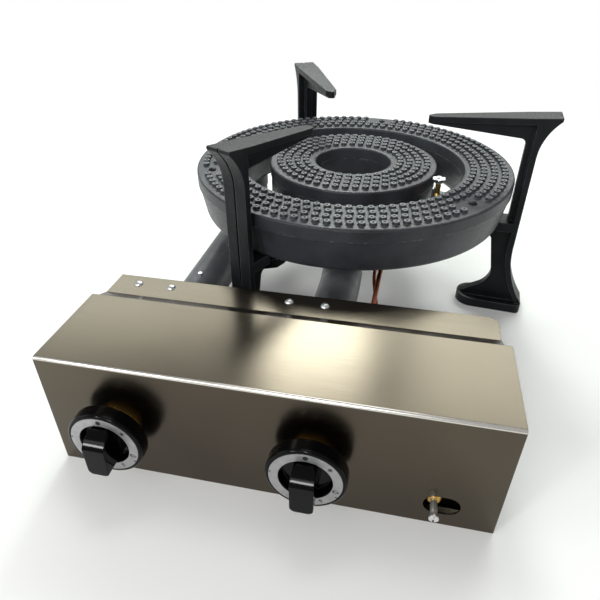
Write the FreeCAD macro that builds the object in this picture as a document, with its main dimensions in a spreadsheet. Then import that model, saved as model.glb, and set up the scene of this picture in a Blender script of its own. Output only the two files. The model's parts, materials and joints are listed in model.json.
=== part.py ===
import FreeCAD, Part
import math
import os
from types import SimpleNamespace

import Sketcher

V = FreeCAD.Vector

# Driving sizes in millimetres and degrees.
# The floor is z = 0, +X points to the right of the control panel and +Y to the back.
SIZES = {
    # burner axis, from the middle of the footprint
    "burner_x": -9.16,
    "burner_y": 101.295,
    # burner rings
    "ring_top": 179.5,
    "outer_ring_dia": 400.0,
    "outer_hole_dia": 281.0,
    "inner_ring_dia": 214.0,
    "inner_hole_dia": 96.0,
    "cap_depth": 15.0,
    "cap_plate": 6.0,
    "cap_edge_round": 2.5,
    "trough_depth": 39.0,
    "trough_floor": 7.0,
    "trough_step": 1.0,
    "trough_round": 8.0,
    "trough_draft": 6.0,
    "cast_wall": 6.0,
    # studs with their gas ports
    "stud_dia": 8.4,
    "stud_top_dia": 7.0,
    "stud_rise": 3.5,
    "port_dia": 2.6,
    "stud_pitch": 11.7,
    "outer_row_first": 151.0,
    "outer_row_step": 12.4,
    "inner_row_first": 61.0,
    "inner_row_step": 11.2,
    "patch_azimuth": 83.0,
    "patch_radius": 181.0,
    "patch_reach": 17.0,
    # cap pillars and screws
    "pillar_dia": 11.0,
    "inner_pillar_azimuth": 101.0,
    "cap_screw_dia": 5.0,
    "cap_screw_grip": 12.0,
    # legs
    "leg_right_azimuth": -5.5,
    "leg_back_azimuth": 117.5,
    "leg_left_azimuth": 243.2,
    "leg_flange_width": 30.0,
    "leg_flange": 7.0,
    "leg_web": 10.0,
    "leg_post_out": 216.0,
    "leg_ring_gap": 2.0,
    "leg_lower_web": 28.0,
    "leg_ankle_web": 19.5,
    "ankle_round": 28.0,
    "ankle_top": 50.0,
    "instep_run": 11.0,
    "instep_drop": 22.0,
    "leg_groove": 2.4,
    "arm_reach": 234.0,
    "arm_end_height": 255.5,
    "arm_tip_radius": 89.0,
    "arm_tip_height": 244.0,
    "arm_tip_depth": 8.5,
    "arm_lip": 3.5,
    "arm_tip_width": 15.0,
    "arm_root_depth": 28.0,
    "top_flare_start": 210.0,
    "foot_flare_start": 92.0,
    "foot_out": 242.0,
    "foot_in": 158.0,
    "foot_width": 42.0,
    "foot_thick": 12.0,
    "foot_floor": 9.0,
    "foot_rim": 4.0,
    "shelf_in": 145.0,
    "shelf_depth": 11.0,
    "shelf_neck": 171.0,
    "riser_in": 183.0,
    "ring_rest": 12.0,
    "leg_bolt_radius": 172.0,
    "leg_bolt_dia": 8.0,
    "leg_bolt_grip": 12.0,
    "leg_bolt_recess": 7.0,
    # control box, folded from sheet
    "box_length": 400.0,
    "box_height": 126.0,
    "box_top_depth": 99.0,
    "box_shift": -21.6,
    "box_setback": 383.0,
    "sheet": 1.5,
    "front_bend": 3.0,
    "step_run": 13.5,
    "step_angle": 21.5,
    "flange_depth": 34.5,
    "flange_inset": 7.0,
    "flange_clip": 6.0,
    "base_lip": 16.0,
    "screw_dia": 5.0,
    "screw_head_dia": 9.0,
    "base_screw_dia": 4.0,
    # knobs, taps, injectors and mixing tubes on two common axes
    "knob_height": 61.0,
    "outer_axis_x": -133.5,
    "inner_axis_x": 41.5,
    "outer_tube_shift": -2.5,
    "inner_tube_shift": -15.0,
    "knob_dia": 68.0,
    "knob_back": 11.0,
    "knob_thick": 14.5,
    "knob_hollow": 3.5,
    "knob_hollow_dia": 46.0,
    "knob_edge": 2.5,
    "dial_dia": 61.0,
    "dial_hole_dia": 45.0,
    "dial_thick": 1.2,
    "knob_recess": 7.0,
    "grip_width": 19.5,
    "grip_length": 40.0,
    "grip_rise": 16.0,
    "grip_corner": 5.0,
    "push_travel": 3.5,
    "spindle_dia": 8.0,
    "neck_dia": 20.0,
    "neck_reach": 7.0,
    "gland_dia": 38.0,
    "gland_cap": 2.4,
    "tap_dia": 30.0,
    "tap_back": 52.0,
    "tap_outlet_dia": 16.0,
    "tap_outlet": 6.0,
    "chamber_dia": 16.0,
    "chamber_depth": 20.0,
    "plug_depth": 42.0,
    "seat_thick": 2.0,
    "injector_hex": 13.4,
    "injector_flats": 15.0,
    "injector_dia": 12.0,
    "injector_tip": 12.0,
    "injector_jet": 1.6,
    "shutter_dia": 54.0,
    "shutter_thick": 2.0,
    "window_dia": 15.0,
    "window_radius": 17.0,
    "tube_dia": 50.0,
    "tube_bore": 36.0,
    "tube_bend": 44.0,
    "bell_dia": 58.0,
    "bell_length": 24.0,
    "bell_wall": 4.0,
    "socket_drop": 12.0,
    "socket_dia": 52.0,
    "spigot_dia": 40.0,
    "hanger_width": 68.0,
    "hanger_sheet": 3.0,
    "hanger_ear": 22.0,
    "hanger_shift": -6.0,
    "outer_screw_shift": -13.5,
    "inner_screw_shift": -15.5,
    "flange_screw_gap": 36.0,
    "plug_screw_dia": 3.0,
    "plug_screw_back": 216.0,
    "plug_screw_lean": 2.0,
    # gas line
    "manifold_dia": 21.3,
    "manifold_bore": 16.0,
    "manifold_back": 30.0,
    "manifold_height": 25.0,
    "tap_leg_dia": 16.0,
    "tap_leg_spigot_dia": 12.0,
    "manifold_boss_top": 39.0,
    "inlet_x": 92.0,
    "inlet_reach": 22.0,
    "nozzle_dia": 10.0,
    "nozzle_length": 28.0,
    "nozzle_bore": 5.0,
    "nozzle_hex": 9.0,
    "nozzle_flats": 19.0,
    # pilot tap in its oval hole, pilot burner and copper lines
    "pilot_tap_x": 147.0,
    "pilot_hole_x": 153.5,
    "pilot_hole_width": 31.0,
    "pilot_hole_height": 22.0,
    "pilot_tap_dia": 21.0,
    "pilot_tap_front": 12.0,
    "pilot_tap_back": 38.0,
    "pilot_plate_width": 48.0,
    "pilot_plate_height": 32.0,
    "pilot_collar_dia": 13.0,
    "pilot_collar": 7.5,
    "pilot_spindle_dia": 6.0,
    "pilot_spindle_out": 14.0,
    "pilot_azimuth": -25.0,
    "pilot_radius": 120.0,
    "pilot_stem_dia": 9.0,
    "pilot_crown_dia": 16.0,
    "pilot_crown_top": 183.0,
    "probe_dia": 4.4,
    "probe_side": -12.5,
    "pilot_shelf_top": 155.0,
    "pilot_shelf_sheet": 2.5,
    "pilot_shelf_in": 112.0,
    "pilot_shelf_out": 137.3,
    "pilot_shelf_back": 30.0,
    "pilot_shelf_front": 24.0,
    "pilot_shelf_foot": 13.0,
    "copper_dia": 5.0,
    "lead_dia": 4.0,
    # bridge bars that carry the inner ring
    "bar_left_azimuth": 207.0,
    "bar_back_azimuth": 60.0,
    "bar_in": 86.0,
    "bar_out": 162.0,
    "bar_width": 40.0,
    "bar_thick": 5.0,
    "bar_screw_dia": 5.0,
    "bar_screw_grip": 5.0,
    # clearances
    "seat_gap": 0.3,
    "running_gap": 0.05,
    "screw_gap": 0.1,
}
WINDOWS = 3
THIRD_TURN = 120.0
STUD_ROWS = 4
# Bends of the two copper lines: how far right, back and up of the tap's union, and then of the line's end.
GAS_FROM_TAP = [(0, 36, 0), (-28, 74, 8), (-60, 98, 44), (-74, 116, 66), (-72, 147, 80), (-71, 174, 86)]
GAS_TO_PILOT = [(-47, -64, -31), (0, -20, -42), (0, 0, -36)]
LEAD_FROM_TAP = [(0, 40, 0), (-24, 78, 6), (-52, 100, 42), (-66, 116, 68), (-73, 147, 81), (-78, 177, 89)]
LEAD_TO_PROBE = [(-52, -52, -36), (0, -30, -53), (0, 0, -47)]


class Size:
    """A number together with the sheet formula that it comes from."""

    def __init__(self, value, formula):
        self.value = value
        self.formula = formula

    def __add__(self, other):
        other = size(other)
        return Size(self.value + other.value, f"({self.formula} + {other.formula})")

    def __sub__(self, other):
        other = size(other)
        return Size(self.value - other.value, f"({self.formula} - {other.formula})")

    def __mul__(self, other):
        other = size(other)
        return Size(self.value * other.value, f"({self.formula} * {other.formula})")

    def __truediv__(self, other):
        other = size(other)
        return Size(self.value / other.value, f"({self.formula} / {other.formula})")

    def __neg__(self):
        return size(0) - self

    def __rsub__(self, other):
        return size(other) - self

    __radd__ = __add__
    __rmul__ = __mul__


def size(number):
    """A plain number as a Size; a Size stays as it is."""
    if isinstance(number, Size):
        return number
    return Size(float(number), f"({float(number)})")


def cos(angle):
    return Size(math.cos(math.radians(angle.value)), f"cos({angle.formula} * 1 deg)")


def sin(angle):
    return Size(math.sin(math.radians(angle.value)), f"sin({angle.formula} * 1 deg)")


def tan(angle):
    return sin(angle) / cos(angle)


def root(square):
    return Size(math.sqrt(square.value), f"sqrt({square.formula})")


doc = FreeCAD.newDocument("paella_burner")
sheet = doc.addObject("Spreadsheet::Sheet", "sizes")
for row, (alias, number) in enumerate(SIZES.items(), 1):
    sheet.set(f"A{row}", alias.replace("_", " "))
    sheet.set(f"B{row}", str(number))
    sheet.setAlias(f"B{row}", alias)
doc.recompute()
s = SimpleNamespace(**{alias: Size(sheet.get(alias), f"sizes.{alias}") for alias in SIZES})

nodes = {}


# Document helpers
def bind(thing, **values):
    """Tie properties of a document object to sheet formulas."""
    for name, number in values.items():
        thing.setExpression(name, size(number).formula)
    return thing


def place(thing, x=0, y=0, z=0, turn=0, about=(0, 0, 1)):
    """Turn an object about an axis through its own origin and move it."""
    thing.Placement = FreeCAD.Placement(V(0, 0, 0), FreeCAD.Rotation(V(*about), size(turn).value))
    for name, number in (("x", x), ("y", y), ("z", z)):
        thing.setExpression(f"Placement.Base.{name}", size(number).formula)
    if isinstance(turn, Size):
        thing.setExpression("Placement.Rotation.Angle", f"{turn.formula} * 1 deg")
    return thing


def keep(label, thing):
    """Register a finished piece under its own name."""
    thing.Label = label
    nodes[label] = thing
    return thing


def new_body(name):
    return doc.addObject("PartDesign::Body", name)


def origin_plane(body, role):
    return next(item for item in body.Origin.OriginFeatures if item.Role == role)


def new_sketch(body, role, lift=None):
    """A sketch on one of the body's own planes, lifted along the plane's normal."""
    sketch = body.newObject("Sketcher::SketchObject", body.Name + "_sketch")
    sketch.AttachmentSupport = [(origin_plane(body, role), "")]
    sketch.MapMode = "FlatFace"
    if lift is not None:
        sketch.setExpression("AttachmentOffset.Base.z", size(lift).formula)
    return sketch


def tie_point(sketch, edge, end, x, y):
    """Fix one end of an edge at a formula's place."""
    for kind, number in (("DistanceX", x), ("DistanceY", y)):
        index = sketch.addConstraint(Sketcher.Constraint(kind, -1, 1, edge, end, number.value))
        sketch.setExpression(f"Constraints[{index}]", number.formula)


def tie_radius(sketch, edge, radius):
    index = sketch.addConstraint(Sketcher.Constraint("Radius", edge, radius.value))
    sketch.setExpression(f"Constraints[{index}]", radius.formula)


def outline(sketch, corners):
    """A closed outline. A corner with a third value starts an arc of that radius, and a
    negative radius bends it clockwise."""
    points = [(size(corner[0]), size(corner[1])) for corner in corners]
    edges = []
    for index, corner in enumerate(corners):
        start = V(points[index][0].value, points[index][1].value, 0)
        after = points[(index + 1) % len(points)]
        end = V(after[0].value, after[1].value, 0)
        if len(corner) == 2:
            edges.append((sketch.addGeometry(Part.LineSegment(start, end)), 1, 2))
            continue
        radius = size(corner[2])
        first, last = (start, end) if radius.value > 0 else (end, start)
        chord = last - first
        side = V(-chord.y, chord.x, 0).normalize()
        rise = math.sqrt(max(radius.value ** 2 - (chord.Length / 2) ** 2, 0.0))
        centre = (first + last) * 0.5 + side * rise
        angles = [math.atan2(point.y - centre.y, point.x - centre.x) for point in (first, last)]
        circle = Part.Circle(centre, V(0, 0, 1), abs(radius.value))
        edge = sketch.addGeometry(Part.ArcOfCircle(circle, angles[0], angles[1]))
        edges.append((edge, 1, 2) if radius.value > 0 else (edge, 2, 1))
    for index, (edge, first, last) in enumerate(edges):
        after, after_first, _ = edges[(index + 1) % len(edges)]
        sketch.addConstraint(Sketcher.Constraint("Coincident", edge, last, after, after_first))
        tie_point(sketch, edge, first, *points[index])
        if len(corners[index]) == 3:
            radius = size(corners[index][2])
            tie_radius(sketch, edge, radius if radius.value > 0 else -radius)
    return sketch


def circles(sketch, centres, radius):
    """Equal circles at the given centres."""
    for x, y in centres:
        middle = V(size(x).value, size(y).value, 0)
        edge = sketch.addGeometry(Part.Circle(middle, V(0, 0, 1), size(radius).value))
        tie_point(sketch, edge, 3, size(x), size(y))
        tie_radius(sketch, edge, size(radius))
    return sketch


def pad(body, sketch, length, both_ways=False):
    feature = body.newObject("PartDesign::Pad", body.Name + "_pad")
    feature.Profile = sketch
    feature.Midplane = both_ways
    feature.setExpression("Length", size(length).formula)
    return feature


def pocket(body, sketch, length):
    """Cut the sketch away on both sides of its plane, over the whole length given."""
    feature = body.newObject("PartDesign::Pocket", body.Name + "_pocket")
    feature.Profile = sketch
    feature.Midplane = True
    feature.setExpression("Length", size(length).formula)
    return feature


def turned(name, profile):
    """A body turned about its own Z axis from (radius, height) corners."""
    body = new_body(name)
    sketch = outline(new_sketch(body, "XZ_Plane"), profile)
    feature = body.newObject("PartDesign::Revolution", name + "_turn")
    feature.Profile = sketch
    feature.ReferenceAxis = (sketch, ["V_Axis"])
    feature.Angle = 360
    return body


def washer_profile(inner, outer, low, high):
    return [(inner, low), (outer, low), (outer, high), (inner, high)]


def cylinder(radius, height, x=0, y=0, z=0, turn=0, about=(0, 0, 1)):
    thing = doc.addObject("Part::Cylinder", "cylinder")
    return place(bind(thing, Radius=radius, Height=height), x, y, z, turn, about)


def hexagon(flats, height, x=0, y=0, z=0, turn=0, about=(0, 0, 1)):
    thing = doc.addObject("Part::Prism", "hexagon")
    thing.Polygon = 6
    bind(thing, Circumradius=flats / math.sqrt(3), Height=height)
    return place(thing, x, y, z, turn, about)


def fuse(name, pieces):
    thing = doc.addObject("Part::MultiFuse", name)
    thing.Shapes = pieces
    return thing


def cut(name, base, tools):
    thing = doc.addObject("Part::Cut", name)
    thing.Base = base
    thing.Tool = tools[0] if len(tools) == 1 else fuse(name + "_tools", tools)
    return thing


def group(name, pieces):
    thing = doc.addObject("Part::Compound", name)
    thing.Links = pieces
    return thing


def polar(radius, azimuth):
    """Plan position at a radius and azimuth about the burner axis."""
    radius, azimuth = size(radius), size(azimuth)
    return radius * cos(azimuth), radius * sin(azimuth)


def thirds(azimuth):
    return [azimuth + turn * THIRD_TURN for turn in range(3)]


# Levels and places worked out from the driving sizes
seam = s.ring_top - s.cap_depth
ring_bottom = seam - s.trough_depth
floor_top = ring_bottom + s.trough_floor
plate_under = s.ring_top - s.cap_plate
LEGS = {
    "leg_right": s.leg_right_azimuth,
    "leg_back": s.leg_back_azimuth,
    "leg_front_left": s.leg_left_azimuth,
}
shelf_top = ring_bottom - s.ring_rest
shelf_under = shelf_top - s.shelf_depth
leg_bolt_spots = [polar(s.leg_bolt_radius, azimuth) for azimuth in LEGS.values()]
leg_washer_radius = s.leg_bolt_dia * 1.05
front = -s.box_setback
BARS = {
    "bridge_bar_pilot": s.pilot_azimuth,
    "bridge_bar_back": s.bar_back_azimuth,
    "bridge_bar_left": s.bar_left_azimuth,
}
bar_screw_in = s.bar_in + s.bar_screw_dia * 1.6
bar_screw_out = s.bar_out - s.bar_screw_dia * 1.6
shelf_screw = (s.pilot_shelf_out - s.pilot_shelf_foot * 0.6, (s.pilot_shelf_back - s.pilot_shelf_front) / 2)
outer = SimpleNamespace(
    name="outer",
    radius=s.outer_ring_dia / 2,
    hole=s.outer_hole_dia / 2,
    first_row=s.outer_row_first,
    row_step=s.outer_row_step,
    pillar_spots=[polar(s.patch_radius, azimuth) for azimuth in thirds(s.patch_azimuth)],
    knob_axis=s.box_shift + s.outer_axis_x,
    bar_screw=bar_screw_out,
    screw_shift=s.outer_screw_shift,
    tube_shift=s.outer_tube_shift,
    socket_side=size(1),
    draft=s.trough_draft,
    bolts=leg_bolt_spots,
)
inner = SimpleNamespace(
    name="inner",
    radius=s.inner_ring_dia / 2,
    hole=s.inner_hole_dia / 2,
    first_row=s.inner_row_first,
    row_step=s.inner_row_step,
    pillar_spots=[polar((s.inner_ring_dia + s.inner_hole_dia) / 4, azimuth)
                  for azimuth in thirds(s.inner_pillar_azimuth)],
    knob_axis=s.box_shift + s.inner_axis_x,
    bar_screw=bar_screw_in,
    screw_shift=s.inner_screw_shift,
    tube_shift=s.inner_tube_shift,
    socket_side=size(-1),
    draft=size(0),
    bolts=[],
)
RINGS = (outer, inner)
for ring in RINGS:
    ring.middle = (ring.radius - ring.draft + ring.hole) / 2
    ring.axis = ring.knob_axis + ring.tube_shift
    ring.bar_spots = [polar(ring.bar_screw, azimuth) for azimuth in BARS.values()]
    ring.socket_y = ring.socket_side * root(ring.middle * ring.middle - ring.axis * ring.axis)


def on_burner(thing):
    """Pieces drawn about the burner axis."""
    return place(thing, s.burner_x, s.burner_y)


def on_knob(thing, ring):
    """Pieces drawn on a knob's axis: local Z points out of the panel and local Y up."""
    return place(thing, s.burner_x + ring.knob_axis, s.burner_y + front, s.knob_height, 90, (1, 0, 0))


def on_tube(thing, ring):
    """Pieces drawn in the same way on a mixing tube's axis."""
    return place(thing, s.burner_x + ring.axis, s.burner_y + front, s.knob_height, 90, (1, 0, 0))


def on_box(thing):
    """Pieces drawn from the middle of the panel's foot."""
    return place(thing, s.burner_x + s.box_shift, s.burner_y + front)


# Burner rings
def stud_spots(ring):
    """Staggered rows of studs, left out on the bare patches of the outer ring."""
    patches = [polar(s.patch_radius, azimuth) for azimuth in thirds(s.patch_azimuth)]
    spots = []
    for row in range(STUD_ROWS):
        radius = ring.first_row.value + row * ring.row_step.value
        count = round(2 * math.pi * radius / s.stud_pitch.value)
        for index in range(count):
            angle = 2 * math.pi * (index + row % 2 / 2) / count
            spot = V(radius * math.cos(angle), radius * math.sin(angle), s.ring_top.value)
            distances = [math.hypot(spot.x - x.value, spot.y - y.value) for x, y in patches]
            if min(distances) > s.patch_reach.value:
                spots.append(spot)
    return spots


def ring_cap(ring):
    """An inverted channel with pillars down to the trough's floor and a field of ported studs."""
    high, rounded = s.ring_top, s.cap_edge_round
    blank = turned(f"{ring.name}_cap_blank", [
        (ring.hole, seam),
        (ring.hole + s.cast_wall, seam),
        (ring.hole + s.cast_wall, plate_under),
        (ring.radius - s.cast_wall, plate_under),
        (ring.radius - s.cast_wall, seam),
        (ring.radius, seam),
        (ring.radius, high - rounded, rounded),
        (ring.radius - rounded, high),
        (ring.hole + rounded, high, rounded),
        (ring.hole, high - rounded),
    ])
    pillars = [cylinder(s.pillar_dia / 2, plate_under + s.cap_plate / 2 - floor_top, x, y, floor_top)
               for x, y in ring.pillar_spots]
    thread_depth = s.cap_screw_grip if ring is inner else s.ring_top - floor_top
    threads = [cylinder(s.cap_screw_dia / 2 + s.screw_gap, thread_depth, x, y, floor_top)
               for x, y in ring.pillar_spots]
    plain = cut(f"{ring.name}_cap_plain", fuse(f"{ring.name}_cap_cast", [blank] + pillars), threads)
    doc.recompute()
    up = V(0, 0, 1)
    blind, through = up * (s.cap_plate.value / 2), up * (s.cap_plate.value * 2)
    studs = []
    ports = []
    for spot in stud_spots(ring):
        studs.append(Part.makeCone(s.stud_dia.value / 2, s.stud_top_dia.value / 2,
                                   s.stud_rise.value, spot, up))
        over_pillar = [math.hypot(spot.x - x.value, spot.y - y.value) < s.pillar_dia.value
                       for x, y in ring.pillar_spots]
        down = blind if any(over_pillar) else through
        ports.append(Part.makeCylinder(s.port_dia.value / 2,
                                       down.Length + s.stud_rise.value, spot - down, up))
    cap = doc.addObject("Part::Feature", f"{ring.name}_ring_cap")
    cap.Shape = plain.Shape.multiFuse(studs).cut(Part.makeCompound(ports))
    keep(f"{ring.name}_ring_cap", on_burner(cap))


def ring_trough(ring):
    """A round-bottomed channel with a drafted wall, a tube socket below, leg bosses and screw holes."""
    out, hole = ring.radius - s.trough_step, ring.hole + s.trough_step
    low_out, bend = out - ring.draft, s.trough_round
    channel = turned(f"{ring.name}_channel", [
        (hole, seam),
        (hole, ring_bottom + bend, bend),
        (hole + bend, ring_bottom),
        (low_out - bend, ring_bottom, bend),
        (low_out, ring_bottom + bend),
        (out, seam),
        (out - s.cast_wall, seam),
        (low_out - s.cast_wall, floor_top),
        (hole + s.cast_wall, floor_top),
        (hole + s.cast_wall, seam),
    ])
    boss_dia = s.leg_bolt_dia * 2.2
    half_floor = s.trough_floor / 2
    solids = [channel, cylinder(s.socket_dia / 2, s.socket_drop + half_floor, ring.axis, ring.socket_y,
                                ring_bottom - s.socket_drop)]
    solids += [cylinder(boss_dia / 2, s.leg_bolt_grip, x, y, ring_bottom + half_floor)
               for x, y in ring.bolts]
    holes = [cylinder(s.spigot_dia / 2 + s.running_gap, s.socket_drop + s.trough_floor * 2,
                      ring.axis, ring.socket_y, ring_bottom - s.socket_drop)]
    holes += [cylinder(s.leg_bolt_dia / 2 + s.screw_gap, s.leg_bolt_grip + s.seat_gap, x, y, ring_bottom)
              for x, y in ring.bolts]
    holes += [cylinder(s.cap_screw_dia / 2 + s.screw_gap, s.trough_floor, x, y, ring_bottom)
              for x, y in ring.pillar_spots]
    holes += [cylinder(s.bar_screw_dia / 2 + s.screw_gap, s.bar_screw_grip + s.seat_gap, x, y, ring_bottom)
              for x, y in ring.bar_spots]
    cast = fuse(f"{ring.name}_trough_cast", solids)
    keep(f"{ring.name}_ring_trough", on_burner(cut(f"{ring.name}_trough", cast, holes)))


def hex_screw(x, y, face, dia, length, head_share=1.6, head_depth=0.65):
    """A hexagon screw driven upwards, with its head against the face."""
    head = hexagon(dia * head_share, dia * head_depth, x, y, face - dia * head_depth)
    shank = cylinder(dia / 2, length, x, y, face)
    return fuse("hex_screw", [head, shank])


def dome_profile(shank, head, grip):
    """Half section of a domed screw whose head rests on z = 0."""
    rise = head * 0.6
    dome = (head * head + rise * rise) / (rise * 2)
    return [(0, -grip), (shank, -grip), (shank, 0), (head, 0, dome), (0, rise)]


def cap_screws():
    """Domed screws down through the outer cap's bare patches, hexagon screws up into the inner cap."""
    screws = []
    profile = dome_profile(s.cap_screw_dia / 2, s.cap_screw_dia, s.ring_top - ring_bottom)
    for x, y in outer.pillar_spots:
        screws.append(place(turned("cap_screw", profile), x, y, s.ring_top))
    keep("outer_cap_screws", on_burner(group("outer_cap_screws", screws)))
    length = s.trough_floor + s.cap_screw_grip - s.seat_gap
    screws = [hex_screw(x, y, ring_bottom, s.cap_screw_dia, length) for x, y in inner.pillar_spots]
    keep("inner_cap_screws", on_burner(group("inner_cap_screws", screws)))


# Bridge bars between the rings
def bridge_bars():
    middle = (s.bar_in + s.bar_out) / 2
    for label, azimuth in BARS.items():
        body = new_body(label)
        half = s.bar_width / 2
        sketch = outline(new_sketch(body, "XY_Plane"), [
            (s.bar_in, -half), (s.bar_out, -half), (s.bar_out, half), (s.bar_in, half)])
        circles(sketch, [(bar_screw_in, 0), (bar_screw_out, 0)], s.bar_screw_dia / 2 + s.screw_gap)
        if azimuth is s.pilot_azimuth:
            circles(sketch, [(s.pilot_radius, 0), (s.pilot_radius, s.probe_side)], s.pilot_stem_dia / 2)
            circles(sketch, [shelf_screw], s.bar_screw_dia / 2 + s.screw_gap)
        else:
            circles(sketch, [(middle, 0)], s.pilot_stem_dia / 2 + s.screw_gap)
        pad(body, sketch, s.bar_thick)
        keep(label, place(body, s.burner_x, s.burner_y, ring_bottom - s.bar_thick, azimuth))
    screws = [hex_screw(x, y, ring_bottom - s.bar_thick, s.bar_screw_dia, s.bar_thick + s.bar_screw_grip)
              for x, y in outer.bar_spots + inner.bar_spots]
    keep("bridge_screws", on_burner(group("bridge_screws", screws)))


# Legs
def leg(label, azimuth):
    """A T-section casting: pan arm, post, riser and stepped shelf under the ring, and foot."""
    body = new_body(label)
    strip, post = s.leg_flange, s.leg_post_out
    slope = (s.arm_end_height - s.arm_tip_height) / (s.arm_reach - s.arm_tip_radius)
    post_in = outer.radius + s.leg_ring_gap
    arm_under = s.arm_end_height - s.arm_root_depth
    top_flare = s.arm_reach - post
    top_rise = s.arm_end_height - s.arm_lip - s.top_flare_start
    top_round = (top_flare * top_flare + top_rise * top_rise) / (top_flare * 2)
    foot_flare = s.foot_out - post
    foot_rise = s.foot_flare_start - s.foot_thick
    foot_round = (foot_flare * foot_flare + foot_rise * foot_rise) / (foot_flare * 2)
    lower_in, ankle_in = post - s.leg_lower_web, post - s.leg_ankle_web
    half, foot_half, web_half = s.leg_flange_width / 2, s.foot_width / 2, s.leg_web / 2
    riser_top = ring_bottom - s.seat_gap
    foot_shapes = []
    for inset, level in ((size(0), size(0)), (s.foot_rim, s.foot_thick)):
        wide, corner = foot_half - inset, strip - inset / 2
        foot_shapes.append(outline(new_sketch(body, "XY_Plane", level), [
            (s.foot_in + foot_half, wide, wide),
            (s.foot_in + inset, 0, wide),
            (s.foot_in + foot_half, -wide),
            (s.foot_out - inset - corner, -wide, corner),
            (s.foot_out - inset, corner - wide),
            (s.foot_out - inset, wide - corner, corner),
            (s.foot_out - inset - corner, wide),
        ]))
    pad(body, foot_shapes[0], s.foot_thick)
    pocket(body, foot_shapes[1], (s.foot_thick - s.foot_floor) * 2)
    outer_edge = [
        (s.foot_out, 0),
        (s.foot_out, s.foot_thick, -foot_round),
        (post, s.foot_flare_start),
        (post, s.top_flare_start, -top_round),
        (s.arm_reach, s.arm_end_height - s.arm_lip),
        (s.arm_reach, s.arm_end_height),
    ]
    web = outer_edge + [
        (s.arm_tip_radius, s.arm_tip_height),
        (s.arm_tip_radius, s.arm_tip_height - s.arm_tip_depth),
        (post_in - strip, arm_under, -strip),
        (post_in, arm_under - strip),
        (post_in, shelf_top),
        (s.shelf_in, shelf_top),
        (s.shelf_in, shelf_under),
        (lower_in - strip, shelf_under, -strip),
        (lower_in, shelf_under - strip),
        (ankle_in, s.ankle_top, -s.ankle_round),
        (ankle_in - s.instep_run, s.ankle_top - s.instep_drop),
        (s.foot_in + s.foot_rim / 2, s.foot_thick),
        (s.foot_in + s.foot_rim / 2, 0),
    ]
    pad(body, outline(new_sketch(body, "XZ_Plane"), web), s.leg_web, True)
    flange = outer_edge + [
        (s.arm_tip_radius, s.arm_tip_height),
        (s.arm_tip_radius, s.arm_tip_height - strip),
        (post - strip, s.arm_end_height - strip - slope * (s.arm_reach - post + strip)),
        (post - strip, s.foot_flare_start, foot_round + strip),
        (s.foot_out - strip, s.foot_thick),
        (s.foot_out - strip, 0),
    ]
    pad(body, outline(new_sketch(body, "XZ_Plane"), flange), s.leg_flange_width, True)
    groove = outline(new_sketch(body, "XZ_Plane"), [
        (s.foot_out - s.leg_groove, s.foot_thick, -(foot_round + s.leg_groove)),
        (post - s.leg_groove, s.foot_flare_start),
        (post - s.leg_groove, s.top_flare_start, -(top_round + s.leg_groove)),
        (s.arm_reach - s.leg_groove, s.arm_end_height - s.arm_lip),
        (s.arm_reach - s.leg_groove, s.arm_end_height + strip),
        (s.arm_reach + strip, s.arm_end_height + strip),
        (s.foot_out + strip, s.foot_thick),
    ])
    pocket(body, groove, s.leg_groove)
    shelf = outline(new_sketch(body, "XY_Plane", shelf_under), [
        (s.shelf_in + half, half, half),
        (s.shelf_in, 0, half),
        (s.shelf_in + half, -half),
        (s.shelf_neck, -half),
        (s.riser_in, -web_half),
        (post - strip / 2, -web_half),
        (post - strip / 2, web_half),
        (s.riser_in, web_half),
        (s.shelf_neck, half),
    ])
    pad(body, shelf, s.shelf_depth)
    riser = outline(new_sketch(body, "XZ_Plane"), [
        (s.riser_in, shelf_top),
        (post - strip / 2, shelf_top),
        (post - strip / 2, riser_top),
        (s.riser_in, riser_top),
    ])
    pad(body, riser, s.leg_flange_width, True)
    tip_half = s.arm_tip_width / 2
    over = s.leg_flange_width
    for side in (1, -1):
        trim = outline(new_sketch(body, "XY_Plane", arm_under), [
            (s.arm_tip_radius - over, side * tip_half * 0.2),
            (s.arm_tip_radius, side * tip_half * 0.2),
            (s.arm_tip_radius + tip_half, side * tip_half),
            (post_in, side * half),
            (post_in, side * over),
            (s.arm_tip_radius - over, side * over),
        ])
        pocket(body, trim, s.arm_root_depth * 3)
    bolt_hole = circles(new_sketch(body, "XY_Plane", shelf_under), [(s.leg_bolt_radius, 0)],
                        s.leg_bolt_dia / 2 + s.screw_gap)
    pocket(body, bolt_hole, s.shelf_depth * 3)
    recess = circles(new_sketch(body, "XY_Plane", shelf_under), [(s.leg_bolt_radius, 0)],
                     leg_washer_radius + s.seat_gap)
    pocket(body, recess, s.leg_bolt_recess * 2)
    keep(label, place(body, s.burner_x, s.burner_y, 0, azimuth))


def leg_fasteners():
    """Bolts up through the shelves, each with a recessed washer and a long nut that carries the ring."""
    hole = s.leg_bolt_dia / 2 + s.screw_gap
    washer = s.leg_bolt_dia * 0.2
    face = shelf_under + s.leg_bolt_recess - washer
    washers = []
    nuts = []
    bolts = []
    for x, y in leg_bolt_spots:
        disc = cylinder(leg_washer_radius, washer, x, y, face)
        washers.append(cut("leg_washer", disc, [cylinder(hole, washer, x, y, face)]))
        block = hexagon(s.leg_bolt_dia * 1.6, s.ring_rest, x, y, shelf_top)
        nuts.append(cut("leg_nut", block, [cylinder(hole, s.ring_rest, x, y, shelf_top)]))
        length = washer + s.shelf_depth - s.leg_bolt_recess + s.ring_rest + s.leg_bolt_grip
        bolts.append(hex_screw(x, y, face, s.leg_bolt_dia, length))
    keep("leg_washers", on_burner(group("leg_washers", washers)))
    keep("leg_nuts", on_burner(group("leg_nuts", nuts)))
    keep("leg_bolts", on_burner(group("leg_bolts", bolts)))


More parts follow.
